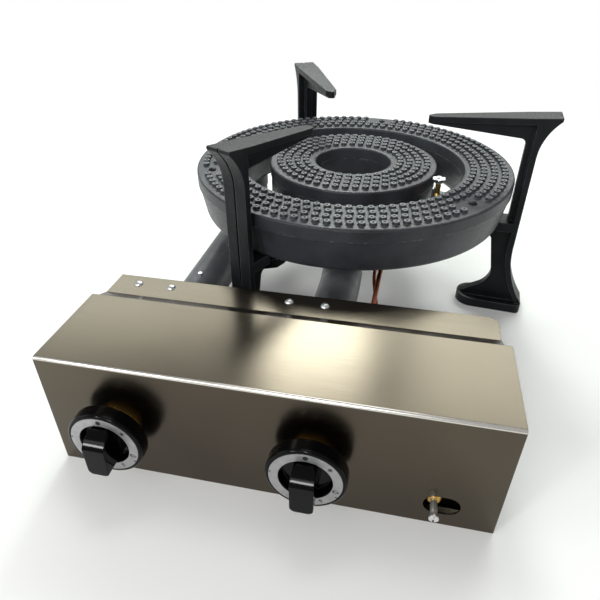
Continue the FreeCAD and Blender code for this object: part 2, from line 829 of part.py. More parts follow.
# Control box
flange_foot = (s.box_top_depth + s.step_run, s.box_height - s.step_run * tan(s.step_angle))
flange_under = flange_foot[1] - s.sheet
flange_end = flange_foot[0] + s.flange_depth
hanger_back = flange_end - s.sheet
screw_back = hanger_back - s.hanger_ear / 2 - s.hanger_sheet / 2
screw_spots = [ring.axis - s.box_shift + ring.screw_shift + side * s.flange_screw_gap / 2
               for ring in RINGS for side in (-1, 1)]
base_screw_spots = [(s.box_top_depth * 0.2, s.base_lip * 0.6), (s.box_top_depth * 0.8, s.base_lip * 0.6)]


def box_cover():
    """Front, top, step and flange folded from one sheet, with welded end panels."""
    body = new_body("control_box_cover")
    length, high, deep, sheet_t, bend = s.box_length, s.box_height, s.box_top_depth, s.sheet, s.front_bend
    fold = outline(new_sketch(body, "YZ_Plane"), [
        (0, 0),
        (sheet_t, 0),
        (sheet_t, high - bend, -(bend - sheet_t)),
        (bend, high - sheet_t),
        (deep, high - sheet_t),
        (deep, high),
        (bend, high, bend),
        (0, high - bend),
    ])
    pad(body, fold, length, True)
    under = s.sheet / cos(s.step_angle)
    rear = outline(new_sketch(body, "YZ_Plane"), [
        (deep, high),
        (deep - sheet_t, high),
        (deep - sheet_t, high - under),
        (flange_foot[0], flange_under),
        (flange_end, flange_under),
        (flange_end, flange_foot[1]),
        flange_foot,
    ])
    pad(body, rear, length - s.flange_inset * 2, True)
    for side in (-1, 1):
        lift = length / 2 - sheet_t if side > 0 else -(length / 2)
        end = outline(new_sketch(body, "YZ_Plane", lift), [
            (0, 0), (deep, 0), (deep, high), (bend, high, bend), (0, high - bend)])
        pad(body, end, sheet_t)
    right = length / 2 - s.flange_inset
    corner = outline(new_sketch(body, "XY_Plane", high), [
        (right - s.flange_clip, flange_end),
        (right, flange_end - s.flange_clip),
        (right + s.flange_clip, flange_end),
        (right, flange_end + s.flange_clip),
    ])
    pocket(body, corner, high)
    taps = circles(new_sketch(body, "XZ_Plane"), [
        (ring.knob_axis - s.box_shift, s.knob_height) for ring in RINGS], s.neck_dia / 2 + s.seat_gap)
    pocket(body, taps, s.sheet * 4)
    round_end = s.pilot_hole_height / 2
    reach = s.pilot_hole_width / 2 - round_end
    low, level = s.manifold_height - round_end, s.manifold_height + round_end
    oval = outline(new_sketch(body, "XZ_Plane"), [
        (s.pilot_hole_x - reach, low),
        (s.pilot_hole_x + reach, low, round_end),
        (s.pilot_hole_x + reach + round_end, s.manifold_height, round_end),
        (s.pilot_hole_x + reach, level),
        (s.pilot_hole_x - reach, level, round_end),
        (s.pilot_hole_x - reach - round_end, s.manifold_height, round_end),
    ])
    pocket(body, oval, s.sheet * 4)
    screws = circles(new_sketch(body, "XY_Plane", high), [(x, screw_back) for x in screw_spots],
                     s.screw_dia / 2 + s.seat_gap)
    pocket(body, screws, high)
    sides = circles(new_sketch(body, "YZ_Plane"), base_screw_spots, s.base_screw_dia / 2 + s.screw_gap)
    pocket(body, sides, length * 2)
    keep("control_box_cover", on_box(body))


def box_base():
    """A tray inside the cover, with turned-up ends that take the side screws."""
    body = new_body("control_box_base")
    half = s.box_length / 2 - s.sheet - s.screw_gap
    low_front, low_back = s.sheet + s.seat_gap, s.box_top_depth - s.sheet
    lip, sheet_t = s.base_lip, s.sheet
    section = outline(new_sketch(body, "XZ_Plane"), [
        (-half, 0), (half, 0), (half, lip), (half - sheet_t, lip),
        (half - sheet_t, sheet_t), (sheet_t - half, sheet_t), (sheet_t - half, lip), (-half, lip)])
    bend = pad(body, section, low_back - low_front)
    bend.Reversed = True
    sides = circles(new_sketch(body, "YZ_Plane"),
                    [(y - low_front, z) for y, z in base_screw_spots], s.base_screw_dia / 2 + s.screw_gap)
    pocket(body, sides, s.box_length * 2)
    keep("control_box_base", place(body, s.burner_x + s.box_shift, s.burner_y + front + low_front))


def box_screws():
    shank, head = s.screw_dia / 2, s.screw_head_dia / 2
    grip = s.sheet + s.hanger_sheet + s.screw_dia
    screws = []
    for x in screw_spots:
        screw = turned("flange_screw", dome_profile(shank, head, grip))
        screws.append(place(screw, x, screw_back, flange_foot[1]))
    keep("flange_screws", on_box(group("flange_screws", screws)))
    screws = []
    shank, head = s.base_screw_dia / 2, s.base_screw_dia
    for side in (-1, 1):
        for y, z in base_screw_spots:
            screw = turned("base_screw", dome_profile(shank, head, s.sheet * 3))
            screws.append(place(screw, side * s.box_length / 2, y, z, side * 90, (0, 1, 0)))
    keep("base_screws", on_box(group("base_screws", screws)))


# Taps, knobs and injectors
injector_back = s.tap_back + s.tap_outlet


def knob(ring):
    """A skirted knob, hollow behind, with a dial seat, a dished face and a grip bar."""
    face, back = s.knob_back + s.knob_thick, s.knob_back + s.knob_hollow
    edge, rim = s.knob_edge, s.knob_dia / 2
    recess = face - s.knob_recess
    body = turned(f"{ring.name}_knob", [
        (0, back),
        (s.knob_hollow_dia / 2, back),
        (s.knob_hollow_dia / 2, s.knob_back),
        (rim - edge, s.knob_back, edge),
        (rim, s.knob_back + edge),
        (rim, face - edge, edge),
        (rim - edge, face),
        (s.dial_dia / 2 + s.screw_gap, face),
        (s.dial_dia / 2 + s.screw_gap, face - s.dial_thick),
        (s.dial_hole_dia / 2, face - s.dial_thick),
        (s.dial_hole_dia / 2 - edge, recess),
        (0, recess),
    ])
    wide, top, corner = s.grip_width / 2, s.grip_length / 2, s.grip_corner
    rise = face + s.grip_rise
    grip = outline(new_sketch(body, "XY_Plane", recess - edge / 2), [
        (corner - wide, -top),
        (wide - corner, -top, corner),
        (wide, corner - top),
        (wide, top - corner, corner),
        (wide - corner, top),
        (corner - wide, top, corner),
        (-wide, top - corner),
        (-wide, corner - top, corner),
    ])
    pad(body, grip, rise - recess + edge / 2)
    shoulder = s.grip_rise * 1.5
    slope = outline(new_sketch(body, "YZ_Plane"), [
        (top, face, shoulder),
        (top / 2, rise),
        (top / 2, rise + edge),
        (top + edge, rise + edge),
        (top + edge, face),
    ])
    pocket(body, slope, s.knob_dia)
    bore = circles(new_sketch(body, "XY_Plane", s.knob_back), [(0, 0)], s.spindle_dia / 2 + s.screw_gap)
    pocket(body, bore, s.knob_thick * 2)
    keep(f"{ring.name}_knob", on_knob(body, ring))
    dial = turned(f"{ring.name}_dial_ring", washer_profile(
        s.dial_hole_dia / 2 + s.screw_gap, s.dial_dia / 2, face - s.dial_thick, face))
    keep(f"{ring.name}_dial_ring", on_knob(dial, ring))


def tap(ring):
    """Tap body on the panel with its gland nut, spring, spring seat and spindle."""
    neck, bore, run = s.neck_dia / 2, s.spindle_dia / 2, s.running_gap
    behind, bore_end = -s.sheet, s.plug_depth + s.push_travel + s.seat_gap
    tap_body = turned(f"{ring.name}_tap_shell", [
        (bore + run, -s.chamber_depth),
        (s.chamber_dia / 2, -s.chamber_depth),
        (s.chamber_dia / 2, s.neck_reach),
        (neck, s.neck_reach),
        (neck, behind),
        (s.tap_dia / 2, behind),
        (s.tap_dia / 2, -s.tap_back),
        (0, -s.tap_back),
        (0, -bore_end),
        (bore + run, -bore_end),
    ])
    barrel = cylinder(s.tap_outlet_dia / 2, injector_back - bore_end, ring.tube_shift, 0, -injector_back)
    drop = s.knob_height - s.manifold_boss_top
    stem = cylinder(s.tap_leg_dia / 2, drop - s.tap_dia / 4, 0, -drop, -s.manifold_back, -90, (1, 0, 0))
    deep = s.manifold_boss_top - s.manifold_height - s.manifold_bore / 4
    spigot = cylinder(s.tap_leg_spigot_dia / 2 - run, drop - s.tap_dia / 4, 0, -drop - deep / 2,
                      -s.manifold_back, -90, (1, 0, 0))
    keep(f"{ring.name}_tap_body", on_knob(fuse(f"{ring.name}_tap", [tap_body, barrel, stem, spigot]), ring))
    cap_under = s.neck_reach + s.screw_gap
    gland = turned(f"{ring.name}_gland_nut", [
        (neck + run, 0),
        (s.gland_dia / 2, 0),
        (s.gland_dia / 2, cap_under),
        (s.gland_dia / 2 - s.gland_cap, cap_under + s.gland_cap),
        (bore + run, cap_under + s.gland_cap),
        (bore + run, cap_under),
        (neck + run, cap_under),
    ])
    keep(f"{ring.name}_gland_nut", on_knob(gland, ring))
    seat_front = cap_under - s.seat_gap
    seat = turned(f"{ring.name}_spring_seat", washer_profile(
        bore + run, s.chamber_dia / 2 - s.seat_gap, seat_front - s.seat_thick, seat_front))
    keep(f"{ring.name}_spring_seat", on_knob(seat, ring))
    wire = (s.chamber_dia - s.spindle_dia) / 10
    spring = turned(f"{ring.name}_return_spring", washer_profile(
        bore + wire, s.chamber_dia / 2 - wire, s.push_travel + s.seat_gap - s.chamber_depth,
        seat_front - s.seat_thick))
    keep(f"{ring.name}_return_spring", on_knob(spring, ring))
    nose = s.knob_back + s.knob_thick - s.seat_gap
    spindle = turned(f"{ring.name}_spindle", [
        (0, -s.plug_depth), (bore, -s.plug_depth), (bore, nose), (0, nose)])
    keep(f"{ring.name}_spindle", on_knob(spindle, ring))


shutter_front = injector_back + s.injector_hex + s.seat_gap
mouth = shutter_front + s.shutter_thick + s.seat_gap


def injector(ring):
    hexed = hexagon(s.injector_flats, s.injector_hex, 0, 0, -injector_back - s.injector_hex)
    shank_end = mouth + s.bell_wall
    shank = cylinder(s.injector_dia / 2, shank_end - injector_back, 0, 0, -shank_end)
    tip = turned(f"{ring.name}_injector_tip", [
        (0, -shank_end - s.injector_tip / 2),
        (s.injector_jet * 2, -shank_end - s.injector_tip / 2),
        (s.injector_dia / 2, -shank_end),
        (0, -shank_end),
    ])
    jet = cylinder(s.injector_jet / 2, s.injector_tip * 4, 0, 0, -shank_end - s.injector_tip)
    brass = fuse(f"{ring.name}_injector_brass", [hexed, shank, tip])
    keep(f"{ring.name}_injector", on_tube(cut(f"{ring.name}_injector", brass, [jet]), ring))


def window_spots():
    return [polar(s.window_radius, size(90 + turn * THIRD_TURN)) for turn in range(WINDOWS)]


def shutter(ring):
    """A turning disc whose windows open and close those of the tube's mouth."""
    body = new_body(f"{ring.name}_air_shutter")
    tab = s.window_dia / 3
    face = new_sketch(body, "XY_Plane", -shutter_front - s.shutter_thick)
    circles(face, [(0, 0)], s.shutter_dia / 2)
    circles(face, [(0, 0)], s.injector_dia / 2 + s.running_gap)
    circles(face, window_spots(), s.window_dia / 2)
    pad(body, face, s.shutter_thick)
    lug = outline(new_sketch(body, "XY_Plane", -shutter_front - s.shutter_thick), [
        (-tab / 2, -s.shutter_dia / 2 - tab * 2), (tab / 2, -s.shutter_dia / 2 - tab * 2),
        (tab / 2, tab - s.shutter_dia / 2), (-tab / 2, tab - s.shutter_dia / 2)])
    pad(body, lug, s.shutter_thick)
    keep(f"{ring.name}_air_shutter", on_tube(body, ring))


# Mixing tubes and their hangers
def mixing_tube(ring):
    """Bell with air windows, a level run, a bend and a spigot up into the ring's socket."""
    label = f"{ring.name}_mixing_tube"
    back = mouth + s.bell_length
    run_start = front + back - s.bell_wall - ring.socket_y
    top = ring_bottom - s.socket_drop
    pieces = []
    for radius, pair in ((s.tube_dia / 2, "skin"), (s.tube_bore / 2, "bore")):
        extra = s.bell_wall * 2 if pair == "bore" else size(0)
        run = cylinder(radius, -run_start - s.tube_bend + extra, ring.axis, ring.socket_y - s.tube_bend,
                       s.knob_height, 90, (1, 0, 0))
        bend = doc.addObject("Part::Torus", f"{ring.name}_tube_bend")
        bend.Angle3 = 90
        bind(bend, Radius1=s.tube_bend, Radius2=radius)
        bend.Placement = FreeCAD.Placement(V(0, 0, 0), FreeCAD.Rotation(V(0, 0, -1), V(0, 1, 0), V(1, 0, 0)))
        for name, number in (("x", ring.axis), ("y", ring.socket_y - s.tube_bend),
                             ("z", s.knob_height + s.tube_bend)):
            bend.setExpression(f"Placement.Base.{name}", number.formula)
        rise_foot = s.knob_height + s.tube_bend
        rise = cylinder(radius, top - rise_foot + (s.trough_floor * 3 if pair == "bore" else size(0)),
                        ring.axis, ring.socket_y, rise_foot)
        pieces.append(fuse(f"{ring.name}_tube_{pair}", [run, bend, rise]))
    spigot = cylinder(s.spigot_dia / 2, s.socket_drop + s.trough_floor + s.tube_bend / 4,
                      ring.axis, ring.socket_y, top - s.tube_bend / 4)
    bell = turned(f"{ring.name}_bell", [
        (s.injector_dia / 2 + s.screw_gap, -mouth),
        (s.injector_dia / 2 + s.screw_gap, -mouth - s.bell_wall),
        (s.bell_dia / 2 - s.bell_wall, -mouth - s.bell_wall),
        (s.bell_dia / 2 - s.bell_wall, s.bell_wall - back),
        (s.tube_bore / 2, s.bell_wall - back),
        (s.tube_bore / 2, -back),
        (s.tube_dia / 2, -back - s.bell_wall),
        (s.bell_dia / 2, -back),
        (s.bell_dia / 2, -mouth),
    ])
    place(bell, ring.axis, front, s.knob_height, 90, (1, 0, 0))
    tools = [pieces[1]]
    window_back = front + mouth + s.bell_wall * 1.5
    for x, z in window_spots():
        tools.append(cylinder(s.window_dia / 2, s.bell_wall * 2, ring.axis + x, window_back,
                              s.knob_height + z, 90, (1, 0, 0)))
    if ring is outer:
        tools.append(cylinder(s.plug_screw_dia / 2 + s.screw_gap, s.tube_dia, ring.axis,
                              front + s.plug_screw_back, s.knob_height, s.plug_screw_lean, (0, 1, 0)))
    solid = fuse(label + "_cast", [pieces[0], spigot, bell])
    keep(label, on_burner(cut(label, solid, tools)))


def tube_screw():
    """Small bright plug screw on the shoulder of the outer ring's tube."""
    dia, skin, wall = s.plug_screw_dia, s.tube_dia / 2, (s.tube_dia - s.tube_bore) / 2
    head = hexagon(dia * 1.6, dia * 0.8, 0, 0, skin)
    shank = cylinder(dia / 2, wall + s.screw_gap, 0, 0, skin - wall)
    plug = place(fuse("plug_screw", [head, shank]), outer.axis, front + s.plug_screw_back, s.knob_height,
                 s.plug_screw_lean, (0, 1, 0))
    keep("tube_plug_screw", on_burner(group("tube_plug_screw", [plug])))


def hanger(ring):
    """A bent plate that hangs the tube from the rear flange."""
    body = new_body(f"{ring.name}_tube_hanger")
    thick = s.hanger_sheet
    low = s.knob_height - s.tube_dia / 2 - thick * 3
    ear_front = hanger_back - s.hanger_ear
    side = outline(new_sketch(body, "YZ_Plane", s.hanger_shift), [
        (hanger_back, low),
        (hanger_back, flange_under),
        (ear_front, flange_under),
        (ear_front, flange_under - thick),
        (hanger_back - thick, flange_under - thick),
        (hanger_back - thick, low),
    ])
    pad(body, side, s.hanger_width, True)
    eye = circles(new_sketch(body, "XZ_Plane", -hanger_back), [(0, s.knob_height)],
                  s.tube_dia / 2 + s.screw_gap)
    pocket(body, eye, thick * 4)
    holes = circles(new_sketch(body, "XY_Plane", s.box_height), [
        (ring.screw_shift + way * s.flange_screw_gap / 2, screw_back) for way in (-1, 1)],
        s.screw_dia / 2 + s.seat_gap)
    pocket(body, holes, s.box_height)
    keep(f"{ring.name}_tube_hanger", place(body, s.burner_x + ring.axis, s.burner_y + front))


# Gas line
def manifold():
    """A pipe along the box with a boss under each tap and a branch to the back for the hose nozzle."""
    legs = [ring.knob_axis - s.box_shift for ring in RINGS]
    left, right = legs[0] - s.manifold_dia, s.pilot_tap_x - s.pilot_tap_dia / 2 - s.nozzle_dia / 2
    closed = left + (s.manifold_dia - s.manifold_bore) / 2
    y, z = s.manifold_back, s.manifold_height
    boss_foot = z + s.manifold_bore / 2 + s.sheet
    pipe = cylinder(s.manifold_dia / 2, right - left, left, y, z, 90, (0, 1, 0))
    bore = cylinder(s.manifold_bore / 2, right - closed, closed, y, z, 90, (0, 1, 0))
    branch = cylinder(s.nozzle_flats / 2, s.inlet_reach, s.inlet_x, y, z, -90, (1, 0, 0))
    branch_bore = cylinder(s.nozzle_bore / 2, s.inlet_reach, s.inlet_x, y, z, -90, (1, 0, 0))
    socket_floor = s.inlet_reach / 2 - s.sheet
    socket = cylinder(s.manifold_bore / 2, s.inlet_reach - socket_floor, s.inlet_x, y + socket_floor, z,
                      -90, (1, 0, 0))
    bosses = [cylinder(s.manifold_dia / 2, s.manifold_boss_top - boss_foot, x, y, boss_foot) for x in legs]
    ports = [cylinder(s.tap_leg_spigot_dia / 2, s.manifold_boss_top - z, x, y, z) for x in legs]
    steel = fuse("manifold_steel", [pipe, branch] + bosses)
    keep("gas_manifold", on_box(cut("gas_manifold", steel, [bore, branch_bore, socket] + ports)))
    nipple = turned("pilot_nipple", [
        (s.nozzle_bore / 2, -s.manifold_dia / 2),
        (s.manifold_bore / 2 - s.running_gap, -s.manifold_dia / 2),
        (s.manifold_bore / 2 - s.running_gap, 0),
        (s.manifold_dia / 2, 0),
        (s.manifold_dia / 2, s.nozzle_dia / 2),
        (s.nozzle_dia / 2, s.nozzle_dia / 2),
        (s.nozzle_dia / 2, s.nozzle_dia),
        (s.nozzle_bore / 2, s.nozzle_dia),
    ])
    x = s.burner_x + s.box_shift + right
    keep("pilot_nipple", place(nipple, x, s.burner_y + front + y, z, 90, (0, 1, 0)))


def inlet():
    """Hose nozzle screwed into the manifold's branch, pointing out of the open back of the box."""
    inside = s.inlet_reach / 2
    collar = hexagon(s.nozzle_flats, s.nozzle_hex)
    shank = cylinder(s.manifold_bore / 2 - s.running_gap, inside + s.nozzle_hex / 2, 0, 0, -inside)
    stub = turned("inlet_stub", [
        (0, s.nozzle_hex / 2),
        (s.nozzle_dia / 2, s.nozzle_hex / 2),
        (s.nozzle_dia / 2, s.nozzle_hex + s.nozzle_length),
        (s.nozzle_bore / 2, s.nozzle_hex + s.nozzle_length + s.sheet),
        (0, s.nozzle_hex + s.nozzle_length + s.sheet),
    ])
    bore = cylinder(s.nozzle_bore / 2, s.nozzle_length * 3, 0, 0, -inside)
    nozzle = cut("gas_inlet_nozzle", fuse("inlet_brass", [collar, shank, stub]), [bore])
    keep("gas_inlet_nozzle", place(nozzle, s.burner_x + s.box_shift + s.inlet_x,
                                   s.burner_y + front + s.manifold_back + s.inlet_reach, s.manifold_height,
                                   -90, (1, 0, 0)))


# Pilot
line_side = s.pilot_tap_dia / 4
line_union = s.copper_dia * 1.6


def pilot_tap():
    """Small tap behind the oval hole: body with two rear unions, brass collar and bright spindle."""
    bore = s.pilot_spindle_dia / 2 + s.running_gap
    shell = turned("pilot_shell", [
        (0, -s.pilot_tap_back),
        (s.pilot_tap_dia / 2, -s.pilot_tap_back),
        (s.pilot_tap_dia / 2, -s.pilot_tap_front),
        (bore, -s.pilot_tap_front),
        (bore, -s.pilot_tap_back + s.pilot_spindle_dia),
        (0, -s.pilot_tap_back + s.pilot_spindle_dia),
    ])
    unions = [cylinder(s.copper_dia, line_union, 0, side * line_side, -s.pilot_tap_back - line_union)
              for side in (-1, 1)]
    side_port = cylinder(s.nozzle_dia / 2 + s.running_gap, s.pilot_tap_dia / 2, -s.pilot_tap_dia / 2, 0,
                         -s.manifold_back, 90, (0, 1, 0))
    seat = cylinder(bore + s.sheet, s.pilot_tap_back, 0, 0, -s.pilot_tap_back)
    port = cut("pilot_port", side_port, [seat])
    spot = (s.burner_x + s.box_shift + s.pilot_tap_x, s.burner_y + front, s.manifold_height, 90, (1, 0, 0))
    brass = fuse("pilot_brass", [shell] + unions)
    keep("pilot_tap_body", place(cut("pilot_tap_body", brass, [port]), *spot))
    collar_front = s.pilot_collar - s.pilot_tap_front
    collar = turned("pilot_tap_collar", [
        (bore, -s.pilot_tap_front),
        (s.pilot_collar_dia / 2, -s.pilot_tap_front),
        (s.pilot_collar_dia / 2, collar_front - s.sheet),
        (s.pilot_collar_dia / 2 - s.sheet, collar_front),
        (bore, collar_front),
    ])
    keep("pilot_tap_collar", place(collar, *spot))
    plate = new_body("pilot_tap_plate")
    wide, tall = s.pilot_plate_width / 2, s.pilot_plate_height / 2
    face = outline(new_sketch(plate, "XZ_Plane", -s.pilot_tap_front), [
        (s.pilot_hole_x - wide, s.manifold_height - tall),
        (s.pilot_hole_x + wide, s.manifold_height - tall),
        (s.pilot_hole_x + wide, s.manifold_height + tall),
        (s.pilot_hole_x - wide, s.manifold_height + tall),
    ])
    circles(face, [(s.pilot_tap_x, s.manifold_height)], s.pilot_collar_dia / 2 + s.screw_gap)
    pad(plate, face, s.sheet)
    keep("pilot_tap_plate", on_box(plate))
    rod, tip = s.pilot_spindle_dia / 2, s.pilot_spindle_out
    spindle = turned("pilot_spindle", [
        (0, s.pilot_spindle_dia + s.seat_gap - s.pilot_tap_back),
        (rod, s.pilot_spindle_dia + s.seat_gap - s.pilot_tap_back),
        (rod, tip - rod * 1.6),
        (rod * 1.4, tip - rod * 0.4),
        (rod * 1.4, tip),
        (0, tip),
    ])
    slot = outline(new_sketch(spindle, "XY_Plane", tip), [
        (-rod * 0.25, -rod * 2), (rod * 0.25, -rod * 2), (rod * 0.25, rod * 2), (-rod * 0.25, rod * 2)])
    pocket(spindle, slot, rod * 1.2)
    keep("pilot_spindle", place(spindle, *spot))


def on_pilot(thing, side=0):
    """Upright pieces of the pilot, a distance to the side of the pilot burner."""
    x, y = polar(s.pilot_radius, s.pilot_azimuth)
    return place(thing, s.burner_x + x - side * sin(s.pilot_azimuth),
                 s.burner_y + y + side * cos(s.pilot_azimuth))


bar_under = ring_bottom - s.bar_thick
pilot_nut = s.pilot_stem_dia * 0.55
plate_foot = s.pilot_shelf_top - s.pilot_shelf_sheet
line_end = plate_foot - pilot_nut * 2


def pilot_shelf():
    """A bent bracket that stands on the pilot's bridge bar, and the screw through its foot."""
    body = new_body("pilot_shelf")
    thick, out = s.pilot_shelf_sheet, s.pilot_shelf_out
    section = outline(new_sketch(body, "XZ_Plane", (s.pilot_shelf_front - s.pilot_shelf_back) / 2), [
        (s.pilot_shelf_in, s.pilot_shelf_top),
        (s.pilot_shelf_in, plate_foot),
        (out - thick, plate_foot),
        (out - thick, ring_bottom + thick),
        (out - s.pilot_shelf_foot, ring_bottom + thick),
        (out - s.pilot_shelf_foot, ring_bottom),
        (out, ring_bottom),
        (out, s.pilot_shelf_top),
    ])
    pad(body, section, s.pilot_shelf_front + s.pilot_shelf_back, True)
    holes = new_sketch(body, "XY_Plane", s.pilot_shelf_top)
    circles(holes, [(s.pilot_radius, 0)], s.pilot_stem_dia / 2 + s.screw_gap)
    circles(holes, [(s.pilot_radius, s.probe_side)], s.probe_dia / 2 + s.screw_gap)
    pocket(body, holes, thick * 3)
    foot_hole = circles(new_sketch(body, "XY_Plane", ring_bottom), [shelf_screw],
                        s.bar_screw_dia / 2 + s.screw_gap)
    pocket(body, foot_hole, thick * 3)
    keep("pilot_shelf", place(body, s.burner_x, s.burner_y, 0, s.pilot_azimuth))
    screw = hex_screw(*shelf_screw, bar_under, s.bar_screw_dia, s.bar_thick + thick * 2)
    keep("pilot_shelf_screw", place(screw, s.burner_x, s.burner_y, 0, s.pilot_azimuth))


def pilot_burner():
    """Brass stem clamped in the shelf by two nuts, a petal crown and a thermocouple probe."""
    stem, crown = s.pilot_stem_dia / 2, s.pilot_crown_dia / 2
    crown_foot = s.pilot_crown_top - crown * 0.8
    stem_body = turned("pilot_burner_stem", [
        (0, line_end), (stem, line_end), (stem, s.pilot_shelf_top + pilot_nut * 1.4),
        (stem * 0.7, s.pilot_shelf_top + pilot_nut * 2), (stem * 0.7, crown_foot), (0, crown_foot)])
    keep("pilot_burner_stem", on_pilot(stem_body))
    crown_body = turned("pilot_crown", [
        (0, crown_foot), (stem * 0.8, crown_foot), (crown, s.pilot_crown_top - crown * 0.3),
        (crown, s.pilot_crown_top), (stem * 0.6, s.pilot_crown_top), (0, s.pilot_crown_top - crown * 0.25)])
    petals = circles(new_sketch(crown_body, "XY_Plane", s.pilot_crown_top), [
        polar(crown * 1.12, size(turn * THIRD_TURN / 2)) for turn in range(6)], crown * 0.32)
    pocket(crown_body, petals, crown * 3)
    keep("pilot_crown", on_pilot(crown_body))
    hole = stem + s.screw_gap
    nuts = [cut("pilot_nut", hexagon(s.pilot_stem_dia * 1.5, pilot_nut, 0, 0, level),
                [cylinder(hole, pilot_nut, 0, 0, level)])
            for level in (plate_foot - pilot_nut, s.pilot_shelf_top)]
    keep("pilot_nuts", on_pilot(group("pilot_nuts", nuts)))
    probe, collar = s.probe_dia / 2, s.probe_dia * 0.9
    probe_body = turned("thermocouple_probe", [
        (0, line_end), (probe, line_end), (probe, s.pilot_shelf_top), (collar, s.pilot_shelf_top),
        (collar, s.pilot_shelf_top + probe * 2), (probe * 0.8, s.pilot_shelf_top + probe * 2),
        (probe * 0.8, s.pilot_crown_top - probe * 4), (0, s.pilot_crown_top - probe * 2)])
    keep("thermocouple_probe", on_pilot(probe_body, s.probe_side))


def bent_tube(label, corners, diameter):
    """A round line along straight runs joined by tangent arcs, each as large as its runs allow."""
    edges = []
    start = corners[0]
    radii = []
    for before, corner, after in zip(corners, corners[1:], corners[2:]):
        back, ahead = before - corner, after - corner
        shorter = min(back.Length, ahead.Length)
        half_turn = (math.pi - back.getAngle(ahead)) / 2
        leg_length = 0.45 * shorter
        back.normalize()
        ahead.normalize()
        first, last = corner + back * leg_length, corner + ahead * leg_length
        radius = leg_length / math.tan(half_turn)
        inward = (back + ahead).normalize()
        middle = corner + inward * (radius / math.cos(half_turn) - radius)
        edges.append(Part.LineSegment(start, first).toShape())
        edges.append(Part.Arc(first, middle, last).toShape())
        start = last
        radii.append(round(radius, 1))
    edges.append(Part.LineSegment(start, corners[-1]).toShape())
    path = Part.Wire(edges)
    section = Part.Wire([Part.Circle(corners[0], corners[1] - corners[0], diameter.value / 2).toShape()])
    tube = doc.addObject("Part::Feature", label)
    tube.Shape = path.makePipeShell([section], True, False)
    print(label, "length", round(path.Length, 1), "bend radii", radii)
    keep(label, on_burner(tube))


def copper_lines():
    """Pilot gas tube and thermocouple lead: from the tap, up behind the box and under the ring."""
    union_x, union_y = s.box_shift + s.pilot_tap_x, front + s.pilot_tap_back + line_union
    pilot_x, pilot_y = polar(s.pilot_radius, s.pilot_azimuth)
    probe_x = pilot_x - s.probe_side * sin(s.pilot_azimuth)
    probe_y = pilot_y + s.probe_side * cos(s.pilot_azimuth)
    lines = (
        ("pilot_gas_tube", s.copper_dia, line_side, (pilot_x, pilot_y), GAS_FROM_TAP, GAS_TO_PILOT),
        ("thermocouple_lead", s.lead_dia, -line_side, (probe_x, probe_y), LEAD_FROM_TAP, LEAD_TO_PROBE),
    )
    for label, diameter, side, foot, from_tap, to_foot in lines:
        tap_end = V(union_x.value, union_y.value, (s.manifold_height + side).value)
        foot_end = V(foot[0].value, foot[1].value, line_end.value)
        route = [tap_end] + [tap_end + V(*bend) for bend in from_tap]
        route += [foot_end + V(*bend) for bend in to_foot] + [foot_end]
        bent_tube(label, route, diameter)


for ring in RINGS:
    ring_cap(ring)
    ring_trough(ring)
    knob(ring)
    tap(ring)
    injector(ring)
    shutter(ring)
    mixing_tube(ring)
    hanger(ring)
cap_screws()
bridge_bars()
for label, azimuth in LEGS.items():
    leg(label, azimuth)
leg_fasteners()
box_cover()
box_base()
box_screws()
tube_screw()
manifold()
inlet()
pilot_tap()
pilot_shelf()
pilot_burner()
copper_lines()
doc.recompute()

faults = [f"{item.Name} {item.State}" for item in doc.Objects if {"Invalid", "Error"} & set(item.State)]
faults += [f"{label} has no valid shape" for label, item in nodes.items()
           if item.Shape.isNull() or not item.Shape.isValid() or not item.Shape.Solids]
if faults:
    raise RuntimeError("; ".join(faults))
os.makedirs("parts", exist_ok=True)
low, high = V(1e6, 1e6, 1e6), V(-1e6, -1e6, -1e6)
for label, item in nodes.items():
    box = item.Shape.BoundBox
    low = V(min(low.x, box.XMin), min(low.y, box.YMin), min(low.z, box.ZMin))
    high = V(max(high.x, box.XMax), max(high.y, box.YMax), max(high.z, box.ZMax))
    item.Shape.exportStep(f"parts/{label}.step")
print(len(nodes), "pieces from", tuple(low), "to", tuple(high))
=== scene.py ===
import json
import math

import bmesh
import bpy
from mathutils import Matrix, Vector


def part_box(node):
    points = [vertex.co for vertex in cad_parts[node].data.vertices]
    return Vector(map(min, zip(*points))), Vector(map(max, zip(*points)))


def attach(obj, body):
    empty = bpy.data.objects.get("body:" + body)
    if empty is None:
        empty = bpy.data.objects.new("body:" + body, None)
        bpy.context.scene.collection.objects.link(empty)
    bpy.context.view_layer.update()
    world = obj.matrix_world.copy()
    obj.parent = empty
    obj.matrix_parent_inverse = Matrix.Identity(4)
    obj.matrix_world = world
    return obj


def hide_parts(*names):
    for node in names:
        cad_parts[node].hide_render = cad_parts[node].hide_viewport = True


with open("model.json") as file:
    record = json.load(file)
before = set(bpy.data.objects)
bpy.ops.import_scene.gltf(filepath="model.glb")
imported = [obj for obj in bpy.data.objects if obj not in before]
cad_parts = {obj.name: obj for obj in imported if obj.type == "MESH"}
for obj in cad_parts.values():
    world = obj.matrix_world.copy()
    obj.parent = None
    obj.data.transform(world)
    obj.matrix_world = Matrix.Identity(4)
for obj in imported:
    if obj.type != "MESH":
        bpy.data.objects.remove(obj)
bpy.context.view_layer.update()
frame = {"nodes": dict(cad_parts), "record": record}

MM = 0.001
NODE_BODY = {node: body for body, nodes in frame["record"]["behaviour"]["bodies"].items() for node in nodes}
NODE_SLOT = {row["node"]: row["material_slot"] for row in frame["record"]["subparts"]}


# Shader helpers
def srgb(code):
    """An sRGB hex colour as linear RGBA."""
    parts = [int(code[index:index + 2], 16) / 255 for index in (1, 3, 5)]
    return [part / 12.92 if part <= 0.04045 else ((part + 0.055) / 1.055) ** 2.4 for part in parts] + [1.0]


def per_mm(millimetres):
    """Texture scale whose pattern repeats about once in a real length."""
    return 1 / (millimetres * MM)


